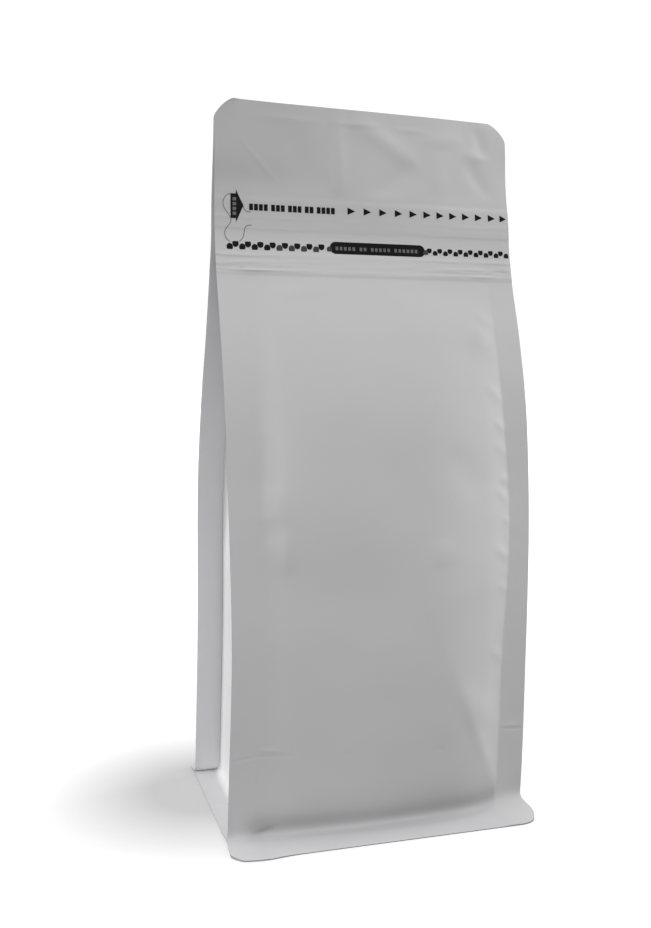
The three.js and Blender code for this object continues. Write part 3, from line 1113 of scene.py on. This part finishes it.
def capsule_bounds(x):
    """The span of the capsule at x, round at both ends."""
    from_end = min(x - CAPSULE_LEFT, CAPSULE_RIGHT - x) + 0.08
    half = CAPSULE_HALF - corner_inset(from_end, CAPSULE_HALF)
    return CAPSULE_MIDDLE - half, CAPSULE_MIDDLE + half


capsule = bmesh.new()
warp(block(capsule, CAPSULE_LEFT, CAPSULE_RIGHT, -1.0, 1.0, 0.6), capsule_bounds)
ink_piece("zip_capsule", capsule, black_ink)

capsule_marks = bmesh.new()
word_row(capsule_marks, left=-15.6, middle=260.4, half=0.8, pitch=1.98, stroke=1.25, space=1.4,
         lengths=[5, 2, 5, 6], cell=0.9)
ink_piece("zip_capsule_marks", capsule_marks, grey_ink, lift=MARK_LIFT, thickness=MARK_THICKNESS)

tip_dots = bmesh.new()
dot(tip_dots, -18.5, 259.8, up=True, scale=RIGHT_SIZE)
dot(tip_dots, 27.6, 259.9, up=True, scale=RIGHT_SIZE)
ink_piece("zip_capsule_tips", tip_dots, worn_ink, lift=MARK_LIFT, thickness=0.04)

# %% The die-cut pull
PULL_LINE_WIDTH = 0.3
PULL_LINES = [  # points on the header as (x, z), mm
    [(-63.0, 282.3), (-64.6, 281.6), (-65.8, 280.0), (-66.2, 278.2), (-65.9, 276.6), (-65.0, 275.0),
     (-63.9, 273.6), (-63.0, 272.2), (-62.7, 271.0), (-63.2, 269.6), (-64.4, 268.0), (-65.4, 266.4),
     (-65.6, 265.0), (-65.1, 263.3), (-64.2, 262.3), (-63.2, 261.7)],
    [(-59.3, 261.8), (-58.2, 262.8), (-57.3, 264.3), (-56.9, 266.3), (-56.5, 267.9), (-55.5, 268.9),
     (-53.6, 269.1)],
    [(-57.5, 278.6), (-57.3, 277.2), (-56.7, 275.8), (-55.6, 275.0), (-54.0, 274.8)],
]
pull = bmesh.new()
for line in PULL_LINES:
    ribbon(pull, smooth_path(line), PULL_LINE_WIDTH)
ink_piece("pull_cut_line", pull, cut_line, lift=0.07, thickness=0.04)

# %% [markdown]
# ## Stage, light and hand-over
# Three large soft lights stand 5 m away, low on the left and in front and higher on the
# right, in an evenly bright room. The strongest light is on the left, so the gusset is
# the brightest part. The backdrop looks white to the camera. The floor also looks like
# white paper to the camera, with a painted soft shadow at the pouch's left. Everything else
# meets it as a darker table, which keeps the underside of the belly in shade. It lies a
# hair below the pouch, so that the two surfaces don't coincide.

# %% Floor
FLOOR_HALF = 12.0
FLOOR_GAP = 0.05
FLOOR_TABLE = 0.08
FLOOR_PAPER = 0.35
SHADE_CENTRE = (-0.066, 0.023, 0.0)
GLOW_STEPS = [  # distance from and to, in metres, and the glow at each
    (0.028, 0.077, 0.338, 0.736),
    (0.077, 0.9, 0.0, 0.5),
]


def diffuse_shader(tree, shade):
    return add_node(tree, "ShaderNodeBsdfDiffuse", {"Color": (shade, shade, shade, 1.0)}).outputs[0]


def painted_shadow_glow(tree):
    """A glow that paints the soft shadow: weak at the shadow's centre and rising with distance from it."""
    here = tree.nodes.new("ShaderNodeTexCoord").outputs["Object"]
    distance = add_node(tree, "ShaderNodeVectorMath", {0: here, 1: SHADE_CENTRE}, operation="DISTANCE")
    steps = [remap_node(tree, distance.outputs["Value"], low, high, start, end)
             for start, end, low, high in GLOW_STEPS]
    strength = math_node(tree, "ADD", *steps)
    return add_node(tree, "ShaderNodeEmission", {"Strength": strength}).outputs[0]


def split_for_camera(tree, out_kind, others, camera_sees):
    """Gives the camera one shader and everything else another."""
    is_camera = tree.nodes.new("ShaderNodeLightPath").outputs["Is Camera Ray"]
    mix = add_node(tree, "ShaderNodeMixShader", {0: is_camera, 1: others, 2: camera_sees})
    add_node(tree, out_kind, {"Surface": mix.outputs[0]})


def white_floor():
    """White paper for the camera, with the painted soft shadow, and a darker table for the pouch."""
    material = bpy.data.materials.new("pale floor")
    material.use_nodes = True
    tree = material.node_tree
    tree.nodes.clear()
    shaders = {0: diffuse_shader(tree, FLOOR_PAPER), 1: painted_shadow_glow(tree)}
    paper = add_node(tree, "ShaderNodeAddShader", shaders).outputs[0]
    split_for_camera(tree, "ShaderNodeOutputMaterial", diffuse_shader(tree, FLOOR_TABLE), paper)
    return material


def make_floor():
    bm = bmesh.new()
    bmesh.ops.create_grid(bm, x_segments=8, y_segments=8, size=FLOOR_HALF)
    mesh = bpy.data.meshes.new("floor")
    bm.to_mesh(mesh)
    bm.free()
    mesh.materials.append(white_floor())
    plane = bpy.data.objects.new("floor", mesh)
    plane.location.z = -FLOOR_GAP * MM
    bpy.context.scene.collection.objects.link(plane)
    return plane


floor = make_floor()
print("floor", 2 * FLOOR_HALF, "m wide,", FLOOR_GAP, "mm below the pouch")

# %% Lights
MIDDLE = Vector((0.0, 0.0, 0.16))
LIGHT_DISTANCE = 5.0
LIGHT_SIZE = 2.5
LIGHTS = [  # name, degrees above the horizon, degrees to the right of the front, and watts
    ("left side", 10.0, -100.0, 170.0),
    ("front", 10.0, -16.0, 62.0),
    ("right side", 25.0, 90.0, 112.0),
]
ROOM_LIGHT = 0.54
BACKDROP = 1.05


def soft_light(name, climb, bearing, power):
    light = bpy.data.lights.new(name, "AREA")
    light.size = LIGHT_SIZE
    light.energy = power
    lamp = bpy.data.objects.new(name, light)
    climb, bearing = math.radians(climb), math.radians(bearing)
    level = math.cos(climb)
    away = Vector((level * math.sin(bearing), -level * math.cos(bearing), math.sin(climb)))
    lamp.location = MIDDLE + away * LIGHT_DISTANCE
    lamp.rotation_euler = (-away).to_track_quat("-Z", "Y").to_euler()
    bpy.context.scene.collection.objects.link(lamp)


def background(tree, strength):
    values = {"Color": (1.0, 1.0, 1.0, 1.0), "Strength": strength}
    return add_node(tree, "ShaderNodeBackground", values).outputs[0]


def studio_world():
    """An evenly bright room, and a white backdrop for the camera."""
    world = bpy.data.worlds.new("studio")
    world.use_nodes = True
    tree = world.node_tree
    tree.nodes.clear()
    room, backdrop = background(tree, ROOM_LIGHT), background(tree, BACKDROP)
    split_for_camera(tree, "ShaderNodeOutputWorld", room, backdrop)
    bpy.context.scene.world = world


for row in LIGHTS:
    soft_light(*row)
studio_world()
bpy.context.scene.view_settings.view_transform = "Standard"

# %% Hand the pieces over
for piece in film_pieces:
    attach(piece, BODY)
    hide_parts(NODE)
